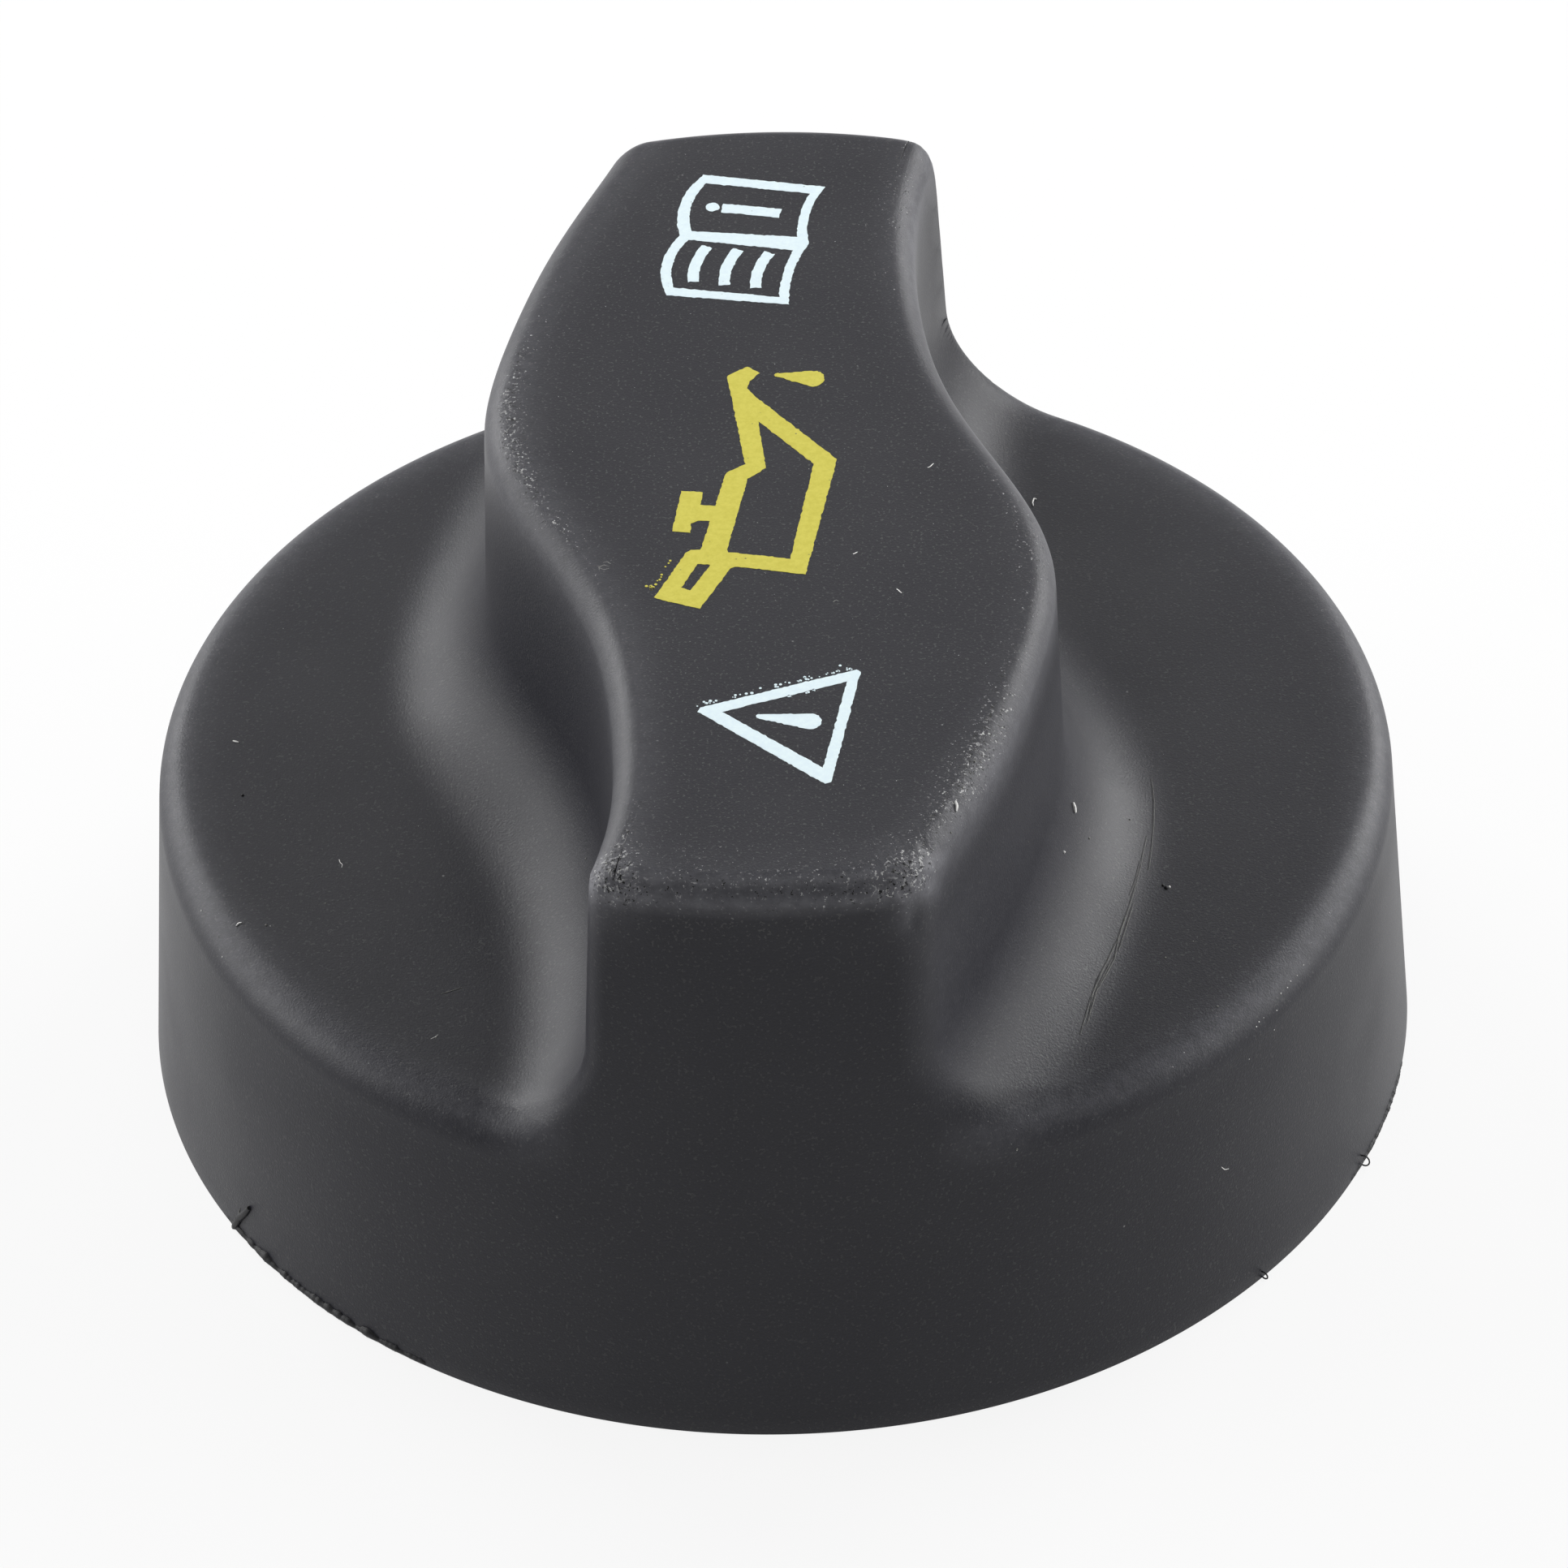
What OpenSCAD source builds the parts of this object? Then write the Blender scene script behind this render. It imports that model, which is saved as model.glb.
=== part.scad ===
// Oil filler cap with an S-shaped finger grip, a bayonet plug and a flat gasket.
// Z is the cap's axis, the origin is at the centre of the skirt's rim, and the grip runs along Y.
// All sizes are in millimetres.

/* [Shell] */
// Outside diameter of the skirt at its rim
cap_d = 66; // [62:0.5:72]
// Height of the cap over the grip
cap_h = 35; // [32:0.5:38]
// Height of the shoulder, where the pocket floors meet the skirt
shoulder_h = 17.6; // [16.5:0.1:19]
// Draft of the skirt and of the grip's ends, in degrees
skirt_draft = 3.4; // [2:0.1:5]
// Rise of the pocket floors towards the axis, in degrees
floor_rise = 1.7; // [0:0.1:3]
// Wall thickness of the skirt and the grip
wall = 2.4; // [2:0.1:3]
// Rounding of the shoulder, the grip's ends and its upright edges
edge_r = 1.4; // [0.8:0.1:2]

/* [Grip] */
// Mean half width of the grip
grip_half_w = 10.7; // [9.5:0.1:12]
// How far the half width grows at the middle and shrinks at the ends
grip_swell = 2.3; // [1:0.1:3]
// Second term of the half width, which fills the middle and the ends
grip_fill = 0.13; // [0:0.01:0.4]
// Third term of the half width, which sharpens the bulges
grip_bulge = 0.15; // [0:0.01:0.4]
// Sideways sway of the grip's centre line
grip_sway = 3.1; // [1:0.1:4]
// Second term of the sway, which draws its crests to the middle
sway_lean = 0.2; // [0:0.01:0.4]
// Third term of the sway, which steepens the S at the axis
sway_steep = 0.16; // [0:0.01:0.4]
// Half length over which the S runs through one wave
grip_span = 30; // [28:0.5:34]
// Draft of the grip's side walls, in degrees
grip_draft = 1.8; // [1:0.1:4]
// Rounding along the top edges of the grip's sides
top_r = 1.4; // [0.8:0.1:2]
// Rounding of the valley between the grip and a pocket floor
valley_r = 5.8; // [4:0.1:7]
// Number of cross ribs inside the grip
rib_count = 3; // [1:1:5]
// Thickness of the ribs and the gussets
rib_t = 1.6; // [1.2:0.1:2]

/* [Plug] */
// Diameter of the land that centres the plug in the filler neck
land_d = 35; // [33:0.5:36]
// Length of that land
land_h = 4.2; // [3:0.1:5]
// Diameter of the stem below the land
stem_d = 30.8; // [29:0.1:31]
// Wall of the stem
stem_wall = 2.2; // [1.8:0.1:3]
// Thickness of the flange that closes the shell
flange_t = 2.6; // [2:0.1:3]
// Radial width of the flange outside the land
flange_w = 6; // [5.5:0.1:6.5]
// Gap between the stem's end and the plane of the skirt's rim
stem_lift = 1.2; // [0.5:0.1:2]
// Lead chamfer on the stem's end and on the land
plug_lead = 0.6; // [0.3:0.1:1]
// Gap between the stem's end and the cross of ribs in it
rib_lift = 1; // [0.5:0.1:3]
// Angle that one bayonet lug covers, in degrees
lug_angle = 52; // [30:1:70]
// Height of a lug at its thick end
lug_h = 3; // [2.4:0.1:3.4]
// Rise of the lug's clamping face over its length
lug_rise = 1; // [0.4:0.1:1.4]
// How far the lugs stay inside the land
lug_inset = 0.3; // [0.2:0.1:0.6]
// Gap between the stem's end and the lugs
lug_lift = 0.4; // [0.2:0.1:0.6]
// Angle of the stop at a lug's thick end, in degrees
stop_angle = 6; // [4:1:10]

/* [Snap collar] */
// Thickness of the collar that holds the plug
collar_t = 1.8; // [1.4:0.1:2.2]
// Number of snap hooks on the collar
hook_count = 6; // [4:1:8]
// Angle that one hook covers, in degrees
hook_angle = 18; // [10:1:24]
// How far a hook reaches under the flange
hook_reach = 0.8; // [0.5:0.1:1]
// Number of keys that turn the plug
key_count = 4; // [2:1:6]
// Width of a key
key_w = 3.6; // [3:0.1:5]
// Depth of a key
key_depth = 1.2; // [0.8:0.1:1.6]
// Number of gussets between the collar and the skirt
gusset_count = 8; // [4:1:12]
// Height of the gussets
gusset_h = 2.6; // [1.5:0.1:3]

/* [Gasket] */
// Thickness of the gasket
gasket_t = 2.6; // [2:0.1:3]
// Depth of the groove that holds the gasket's inner edge, and height of the groove's sloped flank
groove_depth = 0.7; // [0.4:0.1:1]
// How far the gasket stays inside the flange's edge
gasket_inset = 0.8; // [0.4:0.1:1.5]
// Chamfer on the gasket's outer edge
gasket_chamfer = 0.5; // [0.3:0.1:0.8]

/* [Clearances] */
// Clearance round the plug's flange and its keys
fit_gap = 0.2; // [0.1:0.05:0.4]
// Clearance round the gasket in its groove
gasket_gap = 0.1; // [0.05:0.05:0.2]

/* [Hidden] */
$fn = 96;

plastic = [0.055, 0.055, 0.06];
plug_plastic = [0.10, 0.10, 0.11];
rubber = [0.03, 0.03, 0.03];

cap_r = cap_d / 2;
taper = tan(skirt_draft);
eps = 0.01;

// Levels, from the shell's ceiling down to the stem's end
ceiling_z = shoulder_h - wall;
flange_z = ceiling_z - flange_t;
gasket_z = flange_z - gasket_t;
land_top_z = gasket_z - gasket_gap;
land_z = land_top_z - land_h;
roof_z = cap_h - wall;

// Radii round the axis
land_r = land_d / 2;
stem_r = stem_d / 2;
flange_r = land_r + flange_w;
groove_r = land_r - groove_depth;
lug_r = land_r - lug_inset;
collar_in_r = flange_r + fit_gap;
collar_out_r = collar_in_r + collar_t;
bore_r = stem_r - stem_wall;

// Outline of the grip: its left edge as a distance from the YZ plane. A half turn gives the right edge.
function wave(y) = 180 * y / grip_span;
function half_w(y) = grip_half_w + grip_swell * cos(wave(y)) + grip_fill * cos(2 * wave(y))
    + grip_bulge * cos(3 * wave(y));
function sway(y) = grip_sway * sin(wave(y)) + sway_lean * sin(2 * wave(y))
    + sway_steep * sin(3 * wave(y));
function left_edge(y) = half_w(y) + sway(y);
function edge_slope(y) = (left_edge(y + 0.05) - left_edge(y - 0.05)) / 0.1;

// Signed distances, negative inside the plastic
function cone_r(z) = cap_r - taper * z;
function skirt_side(r, z) = (r - cone_r(z)) * cos(skirt_draft);
function left_side(x, y, z) =
    ((-x - left_edge(y)) / norm([1, edge_slope(y)]) - (cap_h - z) * tan(grip_draft)) * cos(grip_draft);
function grip_side(x, y, z) = x < 0 ? left_side(x, y, z) : left_side(-x, -y, z);
function floor_z(r) = shoulder_h + tan(floor_rise) * (cone_r(shoulder_h) - r);
function floor_side(r, z) = (z - floor_z(r)) * cos(floor_rise);

// The outside corner of two faces, and their inside corner, both rounded
function round_max(a, b, r) = min(-r, max(a, b)) + norm([max(a + r, 0), max(b + r, 0)]);
function round_min(a, b, r) = -round_max(-a, -b, r);

// The grip's outline at one height, and the whole outer form
function outline(x, y, z) = round_max(grip_side(x, y, z), skirt_side(norm([x, y]), z), edge_r);
function form(x, y, z) = let(
    r = norm([x, y]),
    grip = round_max(grip_side(x, y, z), z - cap_h, top_r),
    body = round_min(grip, floor_side(r, z), valley_r)
) round_max(body, skirt_side(r, z), edge_r);

// Halving searches: the radius at which the outline, or the grip's side, has a given distance
function outline_r(a, z, d, lo = 1, hi = 60, n = 20) = let(
    r = (lo + hi) / 2
) n == 0 ? r
    : outline(r * cos(a), r * sin(a), z) < d ? outline_r(a, z, d, r, hi, n - 1)
    : outline_r(a, z, d, lo, r, n - 1);
function foot_r(a, d, lo = 1, hi = 60, n = 20) = let(
    r = (lo + hi) / 2
) n == 0 ? r
    : grip_side(r * cos(a), r * sin(a), shoulder_h) < d ? foot_r(a, d, r, hi, n - 1)
    : foot_r(a, d, lo, r, n - 1);

// The point of the outer form that a ray meets from the sight point on the axis
sight_z = 6;
function hit(a, e, lo = 1, hi = 80, n = 24) = let(
    s = (lo + hi) / 2,
    x = s * cos(e) * cos(a),
    y = s * cos(e) * sin(a),
    z = sight_z + s * sin(e)
) n == 0 ? [x, y, z]
    : form(x, y, z) < 0 ? hit(a, e, s, hi, n - 1)
    : hit(a, e, lo, s, n - 1);

// One column of the outer form: the elevations of its bends, and steps between them
function spread(a, b, n) = [for (i = [0:n - 1]) a + (b - a) * i / n];
bend_gap = 0.8;
function bends(a) = let(
    rim_r = cone_r(shoulder_h) - edge_r,
    top_in = atan2(cap_h - sight_z, outline_r(a, cap_h, -1.02 * top_r)),
    top_out = atan2(cap_h - 1.05 * top_r - sight_z, outline_r(a, cap_h - 1.05 * top_r, 0)),
    foot_z = shoulder_h + 1.03 * valley_r,
    foot_top = atan2(foot_z - sight_z, outline_r(a, foot_z, 0)),
    foot_out = atan2(shoulder_h - sight_z, min(foot_r(a, valley_r), rim_r)),
    rim_in = min(atan2(floor_z(rim_r) - sight_z, rim_r), foot_out - bend_gap),
    rim_z = shoulder_h - 1.05 * edge_r,
    rim_out = min(atan2(rim_z - sight_z, cone_r(rim_z)), rim_in - bend_gap)
) [top_in, top_out, foot_top, foot_out, rim_in, rim_out];
bend_steps = [5, 2, 7, 2, 4];
function column(a) = let(
    b = bends(a),
    e = [for (k = [0:len(bend_steps) - 1]) each spread(b[k], b[k + 1], bend_steps[k]), b[len(bend_steps)]]
) concat([for (v = e) hit(a, v)], [[cap_r * cos(a), cap_r * sin(a), 0]]);

// The angles of the columns over half a turn, close together at the upright edges
mid_z = (shoulder_h + cap_h) / 2;
function edge_angle(side, y, n) = let(
    x = (side < 0 ? -left_edge(y) : left_edge(-y)) + side * (cap_h - mid_z) * tan(grip_draft)
) n == 0 ? atan2(y, x) : edge_angle(side, -sqrt(pow(cone_r(mid_z), 2) - x * x), n - 1);
left_a = edge_angle(-1, -cap_r, 6);
right_a = edge_angle(1, -cap_r, 6);
near = 3.6;
notch = 22;
columns = concat(
    spread(left_a - near, left_a + near, 11),
    spread(left_a + near, right_a - near, 6),
    spread(right_a - near, right_a + near, 11),
    spread(right_a + near, right_a + notch, 9),
    spread(right_a + notch, left_a + 180 - notch, 27),
    spread(left_a + 180 - notch, left_a + 180 - near, 9)
);

// Outer form of the shell, solid: a frustum with two pockets that leave the S-shaped grip
module outer_form() {
    half = [for (a = columns) column(a)];
    rows = len(half[0]);
    n = 2 * len(half);
    points = [
        [0, 0, cap_h],
        for (i = [0:rows - 1]) each concat(
            [for (c = half) c[i]],
            [for (c = half) [-c[i].x, -c[i].y, c[i].z]]
        )
    ];
    function at(i, j) = 1 + i * n + (j % n);
    polyhedron(
        points = points,
        faces = concat(
            [for (j = [0:n - 1]) [0, at(0, j + 1), at(0, j)]],
            [for (i = [0:rows - 2], j = [0:n - 1]) [at(i, j), at(i, j + 1), at(i + 1, j)]],
            [for (i = [0:rows - 2], j = [0:n - 1]) [at(i, j + 1), at(i + 1, j + 1), at(i + 1, j)]],
            [[for (j = [0:n - 1]) at(rows - 1, j)]]
        ),
        convexity = 6
    );
}

// Space inside the skirt, up to the ceiling
module skirt_core() {
    rotate_extrude()
        polygon([
            [0, -1],
            [cone_r(-1) - wall, -1],
            [cone_r(ceiling_z - edge_r) - wall, ceiling_z - edge_r],
            [cone_r(ceiling_z) - wall - edge_r, ceiling_z],
            [0, ceiling_z]
        ]);
}

// Space inside the grip, from the ceiling to its roof
core_step = 2;
core_end_r = cone_r(cap_h) - wall;
module grip_core() {
    reach = core_end_r + wall;
    ys = [for (y = [-reach:core_step:reach]) y];
    left = [for (y = ys) [-left_edge(y) + wall * norm([1, edge_slope(y)]), y]];
    right = [for (p = left) -p];
    translate([0, 0, ceiling_z - 1])
        linear_extrude(height = roof_z - ceiling_z + 1)
            intersection() {
                polygon(concat(left, right));
                circle(r = core_end_r);
            }
}

// Ribs across the grip, which stand on the plug's flange
module grip_ribs() {
    pitch = 2 * core_end_r / (rib_count + 1);
    for (i = [1:rib_count])
        translate([-cap_r, -core_end_r + i * pitch - rib_t / 2, ceiling_z])
            cube([cap_d, rib_t, cap_h]);
}

// Ring that locates the plug, with hooks under its flange and keys in its notches
module snap_collar() {
    lip_z = flange_z - fit_gap;
    hook_z = lip_z - hook_reach;
    rotate_extrude()
        polygon([
            [collar_in_r, hook_z],
            [collar_out_r, hook_z],
            [collar_out_r, ceiling_z + eps],
            [collar_in_r, ceiling_z + eps]
        ]);
    for (i = [0:hook_count - 1])
        rotate(i * 360 / hook_count - hook_angle / 2)
            rotate_extrude(angle = hook_angle)
                polygon([
                    [collar_in_r + eps, hook_z],
                    [collar_in_r + eps, lip_z],
                    [collar_in_r - hook_reach, lip_z],
                    [collar_in_r - hook_reach / 2, hook_z]
                ]);
    for (i = [0:key_count - 1])
        rotate((i + 0.5) * 360 / key_count)
            translate([collar_in_r - key_depth, -key_w / 2, flange_z])
                cube([key_depth + collar_t / 2, key_w, flange_t + eps]);
}

// Webs from the collar to the skirt, under the pocket floors
module gussets() {
    for (i = [0:gusset_count - 1])
        rotate((i + 0.5) * 360 / gusset_count)
            translate([collar_out_r - eps, -rib_t / 2, ceiling_z - gusset_h])
                cube([cone_r(ceiling_z) - collar_out_r, rib_t, gusset_h + eps]);
}

// Moulded outer shell: skirt, pocket floors and S-shaped grip, cored from below
module cap_shell() {
    color(plastic)
        difference() {
            outer_form();
            difference() {
                union() {
                    skirt_core();
                    grip_core();
                }
                snap_collar();
                gussets();
                grip_ribs();
            }
        }
}

// One bayonet lug: a curved bar whose clamping face climbs along its length to a stop under the land
lug_steps = 12;
module lug() {
    inner = stem_r - stem_wall / 2;
    low = stem_lift + lug_lift;
    function section(i) = let(
        a = i * lug_angle / lug_steps,
        top = low + lug_h - lug_rise * (1 - i / lug_steps)
    ) [
        [inner * cos(a), inner * sin(a), low],
        [lug_r * cos(a), lug_r * sin(a), low],
        [lug_r * cos(a), lug_r * sin(a), top],
        [inner * cos(a), inner * sin(a), top]
    ];
    polyhedron(
        points = [for (i = [0:lug_steps]) each section(i)],
        faces = concat(
            [[3, 2, 1, 0]],
            [for (i = [0:lug_steps - 1], k = [0:3])
                [4 * i + k, 4 * i + (k + 1) % 4, 4 * i + 4 + k]],
            [for (i = [0:lug_steps - 1], k = [0:3])
                [4 * i + 4 + k, 4 * i + (k + 1) % 4, 4 * i + 4 + (k + 1) % 4]],
            [[for (k = [0:3]) 4 * lug_steps + k]]
        )
    );
    rotate(lug_angle - 1.2 * stop_angle)
        rotate_extrude(angle = stop_angle)
            polygon([
                [inner, low + lug_h / 2],
                [lug_r - 2 * lug_inset, low + lug_h / 2],
                [lug_r - 2 * lug_inset, land_z + eps],
                [inner, land_z + eps]
            ]);
}

// Bayonet plug: flange, gasket groove, land, hollow stem with a cross of ribs, and two lugs
module bayonet_plug() {
    rib_z = stem_lift + rib_lift;
    color(plug_plastic)
        difference() {
            union() {
                rotate_extrude()
                    polygon([
                        [0, flange_z],
                        [0, ceiling_z],
                        [flange_r, ceiling_z],
                        [flange_r, flange_z],
                        [groove_r, flange_z],
                        [groove_r, land_top_z + groove_depth],
                        [land_r, land_top_z],
                        [land_r, land_z + plug_lead],
                        [land_r - plug_lead, land_z],
                        [stem_r, land_z],
                        [stem_r, stem_lift + plug_lead],
                        [stem_r - plug_lead, stem_lift],
                        [bore_r, stem_lift],
                        [bore_r, flange_z]
                    ]);
                for (a = [0, 90])
                    rotate(a)
                        translate([-bore_r - eps, -rib_t / 2, rib_z])
                            cube([2 * (bore_r + eps), rib_t, flange_z - rib_z + eps]);
                for (a = [0, 180])
                    rotate(a)
                        lug();
            }
            for (i = [0:key_count - 1])
                rotate((i + 0.5) * 360 / key_count)
                    translate([collar_in_r - key_depth - fit_gap, -key_w / 2 - fit_gap, flange_z - 1])
                        cube([key_depth + collar_t, key_w + 2 * fit_gap, flange_t + 2]);
        }
}

// Flat rubber gasket, whose inner edge slopes like the groove's flank
module sealing_gasket() {
    inner = groove_r + gasket_gap;
    outer = flange_r - gasket_inset;
    color(rubber)
        rotate_extrude()
            polygon([
                [inner, gasket_z + groove_depth],
                [land_r + gasket_gap, gasket_z],
                [outer - gasket_chamfer, gasket_z],
                [outer, gasket_z + gasket_chamfer],
                [outer, flange_z],
                [inner, flange_z]
            ]);
}

cap_shell();
bayonet_plug();
sealing_gasket();
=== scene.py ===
"""Looks of the oil filler cap: a worn satin shell with printed signs, its bayonet plug and its gasket."""
import math

import bmesh
import bpy
import numpy as np
from mathutils import Matrix, Vector


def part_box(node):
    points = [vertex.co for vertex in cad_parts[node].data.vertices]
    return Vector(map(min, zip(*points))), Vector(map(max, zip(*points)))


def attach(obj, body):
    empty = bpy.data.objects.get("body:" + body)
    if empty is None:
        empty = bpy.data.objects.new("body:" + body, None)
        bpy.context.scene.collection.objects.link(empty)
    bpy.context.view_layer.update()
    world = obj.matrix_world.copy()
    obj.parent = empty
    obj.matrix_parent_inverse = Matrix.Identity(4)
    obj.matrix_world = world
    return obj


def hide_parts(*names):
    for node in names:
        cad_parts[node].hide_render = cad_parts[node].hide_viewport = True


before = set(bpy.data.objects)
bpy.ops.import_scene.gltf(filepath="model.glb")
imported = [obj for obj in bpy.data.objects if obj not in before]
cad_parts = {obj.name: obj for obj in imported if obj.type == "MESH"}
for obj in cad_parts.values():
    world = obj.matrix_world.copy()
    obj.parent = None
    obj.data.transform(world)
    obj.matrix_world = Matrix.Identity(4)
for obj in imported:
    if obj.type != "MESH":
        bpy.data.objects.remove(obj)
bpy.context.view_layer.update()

# Units: lengths are in millimetres until they are put into a mesh
MM = 0.001
SEED = 7

# Outer form of the shell, from the same driving sizes as its solid
CAP_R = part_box("cap_shell")[1].y / MM
CAP_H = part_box("cap_shell")[1].z / MM
SHOULDER_H = 17.6
SKIRT_DRAFT = math.radians(3.4)
FLOOR_RISE = math.radians(1.7)
GRIP_DRAFT = math.radians(1.8)
EDGE_R = 1.4
TOP_R = 1.4
VALLEY_R = 5.8

# The grip's edge along Y as a sum of waves: cosines for its half width and sines for its sway
GRIP_SPAN = 30
HALF_WIDTH = (10.7, 2.3, 0.13, 0.15)
SWAY = (3.1, 0.2, 0.16)

# Worn rounding of the shoulder, and how far below the shoulder and in front of the axis it takes over
SHOULDER_R = 2.1
SHOULDER_BLEND = 3
FRONT_BLEND = 16

# Thickness of the printed ink, which leaves room for it under the cap's full height
INK = 0.015
TOP_Z = CAP_H - INK

# The rim's small rounding, and how near the outer form, the base and the rim's edge a point of the
# solid has to be to count as a part of them
RIM_ROUND = 0.08
SKIN_NEAR = 0.35
BASE_NEAR = 0.001
RIM_NEAR = 0.1

# Points closer than these are joined, in metres
SOLID_WELD = 2e-7
INK_WELD = 1e-8

# The skin's points are found along rays from a sight point on the axis
SIGHT_Z = 6
OUTLINE_REACH = 60
RAY_REACH = 80
HALVINGS = 30

# Columns of the fine skin over half a turn: at the grip's upright edges, along its end, in the
# notches beside it and in the pocket, and the rounds of the search for an upright edge
EDGE_SPAN = math.radians(3.6)
NOTCH_SPAN = math.radians(22)
EDGE_COLUMNS = 44
END_COLUMNS = 64
NOTCH_COLUMNS = 40
POCKET_COLUMNS = 96
EDGE_ROUNDS = 7

# Rows of the fine skin, from the middle of the top to the rim, and the room that each rounding gets
TOP_RINGS = 12
BEND_ROWS = (14, 20, 26, 14, 14)
SKIRT_ROWS = 16
RIM_ROWS = 4
BEND_GAP = math.radians(0.8)
TOP_ROOM = 1.02
EDGE_ROOM = 1.05
FOOT_ROOM = 1.03


def cone_r(z):
    return CAP_R - math.tan(SKIRT_DRAFT) * z


def left_edge(y):
    """Distance of the grip's left edge from the YZ plane; a half turn gives the right edge."""
    wave = np.pi * y / GRIP_SPAN
    width = HALF_WIDTH[0] + sum(a * np.cos((k + 1) * wave) for k, a in enumerate(HALF_WIDTH[1:]))
    return width + sum(a * np.sin((k + 1) * wave) for k, a in enumerate(SWAY))


def edge_slope(y, step=0.05):
    return (left_edge(y + step) - left_edge(y - step)) / (2 * step)


def grip_side(x, y, z):
    """Signed distance from the grip's side walls, negative inside."""
    turn = np.where(x < 0, 1, -1)
    x, y = x * turn, y * turn
    gap = (-x - left_edge(y)) / np.hypot(1, edge_slope(y)) - (CAP_H - z) * math.tan(GRIP_DRAFT)
    return gap * math.cos(GRIP_DRAFT)


def skirt_side(r, z):
    return (r - cone_r(z)) * math.cos(SKIRT_DRAFT)


def floor_z(r):
    return SHOULDER_H + math.tan(FLOOR_RISE) * (cone_r(SHOULDER_H) - r)


def round_max(a, b, r):
    """The outside corner of two faces, rounded."""
    return np.minimum(-r, np.maximum(a, b)) + np.hypot(np.maximum(a + r, 0), np.maximum(b + r, 0))


def round_min(a, b, r):
    return -round_max(-a, -b, r)


def outline(x, y, z):
    return round_max(grip_side(x, y, z), skirt_side(np.hypot(x, y), z), EDGE_R)


def edge_r(y, z):
    """Rounding of the skirt's top edge: worn wider at the front of the shoulder than elsewhere."""
    worn = np.clip((SHOULDER_H - z) / SHOULDER_BLEND + 1, 0, 1) * np.clip(-y / FRONT_BLEND, 0, 1)
    return EDGE_R + (SHOULDER_R - EDGE_R) * worn


def form(x, y, z):
    """Signed distance from the shell's outer form, negative inside."""
    r = np.hypot(x, y)
    grip = round_max(grip_side(x, y, z), z - TOP_Z, TOP_R)
    body = round_min(grip, (z - floor_z(r)) * math.cos(FLOOR_RISE), VALLEY_R)
    return round_max(body, skirt_side(r, z), edge_r(y, z))


def normals(points, step=0.01):
    """Outward normals of the form at points."""
    x, y, z = points.T
    slopes = np.stack([
        form(x + step, y, z) - form(x - step, y, z),
        form(x, y + step, z) - form(x, y - step, z),
        form(x, y, z + step) - form(x, y, z - step),
    ], axis=1)
    return slopes / np.linalg.norm(slopes, axis=1)[:, None]


def halve(inside, lo, hi):
    """Largest values at which inside() still holds, by halving."""
    lo, hi = np.array(lo, float), np.array(hi, float)
    for _ in range(HALVINGS):
        mid = (lo + hi) / 2
        found = inside(mid)
        lo, hi = np.where(found, mid, lo), np.where(found, hi, mid)
    return (lo + hi) / 2


def outline_r(a, z, gap):
    """Radii at which the outline at height z is a gap away."""
    ones = np.ones_like(a)
    return halve(lambda r: outline(r * np.cos(a), r * np.sin(a), z) < gap, ones, OUTLINE_REACH * ones)


def foot_r(a, gap):
    """Radii at which the grip's side is a gap away at the shoulder's height."""
    def inside(r):
        return grip_side(r * np.cos(a), r * np.sin(a), SHOULDER_H) < gap
    ones = np.ones_like(a)
    return halve(inside, ones, OUTLINE_REACH * ones)


def hit(a, e):
    """Points of the form on rays from the sight point on the axis, at azimuths a and elevations e."""
    def at(s):
        return s * np.cos(e) * np.cos(a), s * np.cos(e) * np.sin(a), SIGHT_Z + s * np.sin(e)
    ones = np.ones_like(a)
    return np.stack(at(halve(lambda s: form(*at(s)) < 0, ones, RAY_REACH * ones)), axis=1)


def spread(a, b, n):
    return [a + (b - a) * i / n for i in range(n)]


def upright_angle(side):
    """Azimuth of an upright edge of the grip's front end, halfway up."""
    mid_z = (SHOULDER_H + CAP_H) / 2
    lean = side * (CAP_H - mid_z) * math.tan(GRIP_DRAFT)
    y = -CAP_R
    for _ in range(EDGE_ROUNDS):
        x = (-left_edge(y) if side < 0 else left_edge(-y)) + lean
        y = -math.sqrt(cone_r(mid_z) ** 2 - x * x)
    return math.atan2(y, x)


def column_angles():
    left, right = upright_angle(-1), upright_angle(1)
    half = (
        spread(left - EDGE_SPAN, left + EDGE_SPAN, EDGE_COLUMNS)
        + spread(left + EDGE_SPAN, right - EDGE_SPAN, END_COLUMNS)
        + spread(right - EDGE_SPAN, right + EDGE_SPAN, EDGE_COLUMNS)
        + spread(right + EDGE_SPAN, right + NOTCH_SPAN, NOTCH_COLUMNS)
        + spread(right + NOTCH_SPAN, left + math.pi - NOTCH_SPAN, POCKET_COLUMNS)
        + spread(left + math.pi - NOTCH_SPAN, left + math.pi - EDGE_SPAN, NOTCH_COLUMNS)
    )
    return np.array(half + [a + math.pi for a in half])


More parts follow.
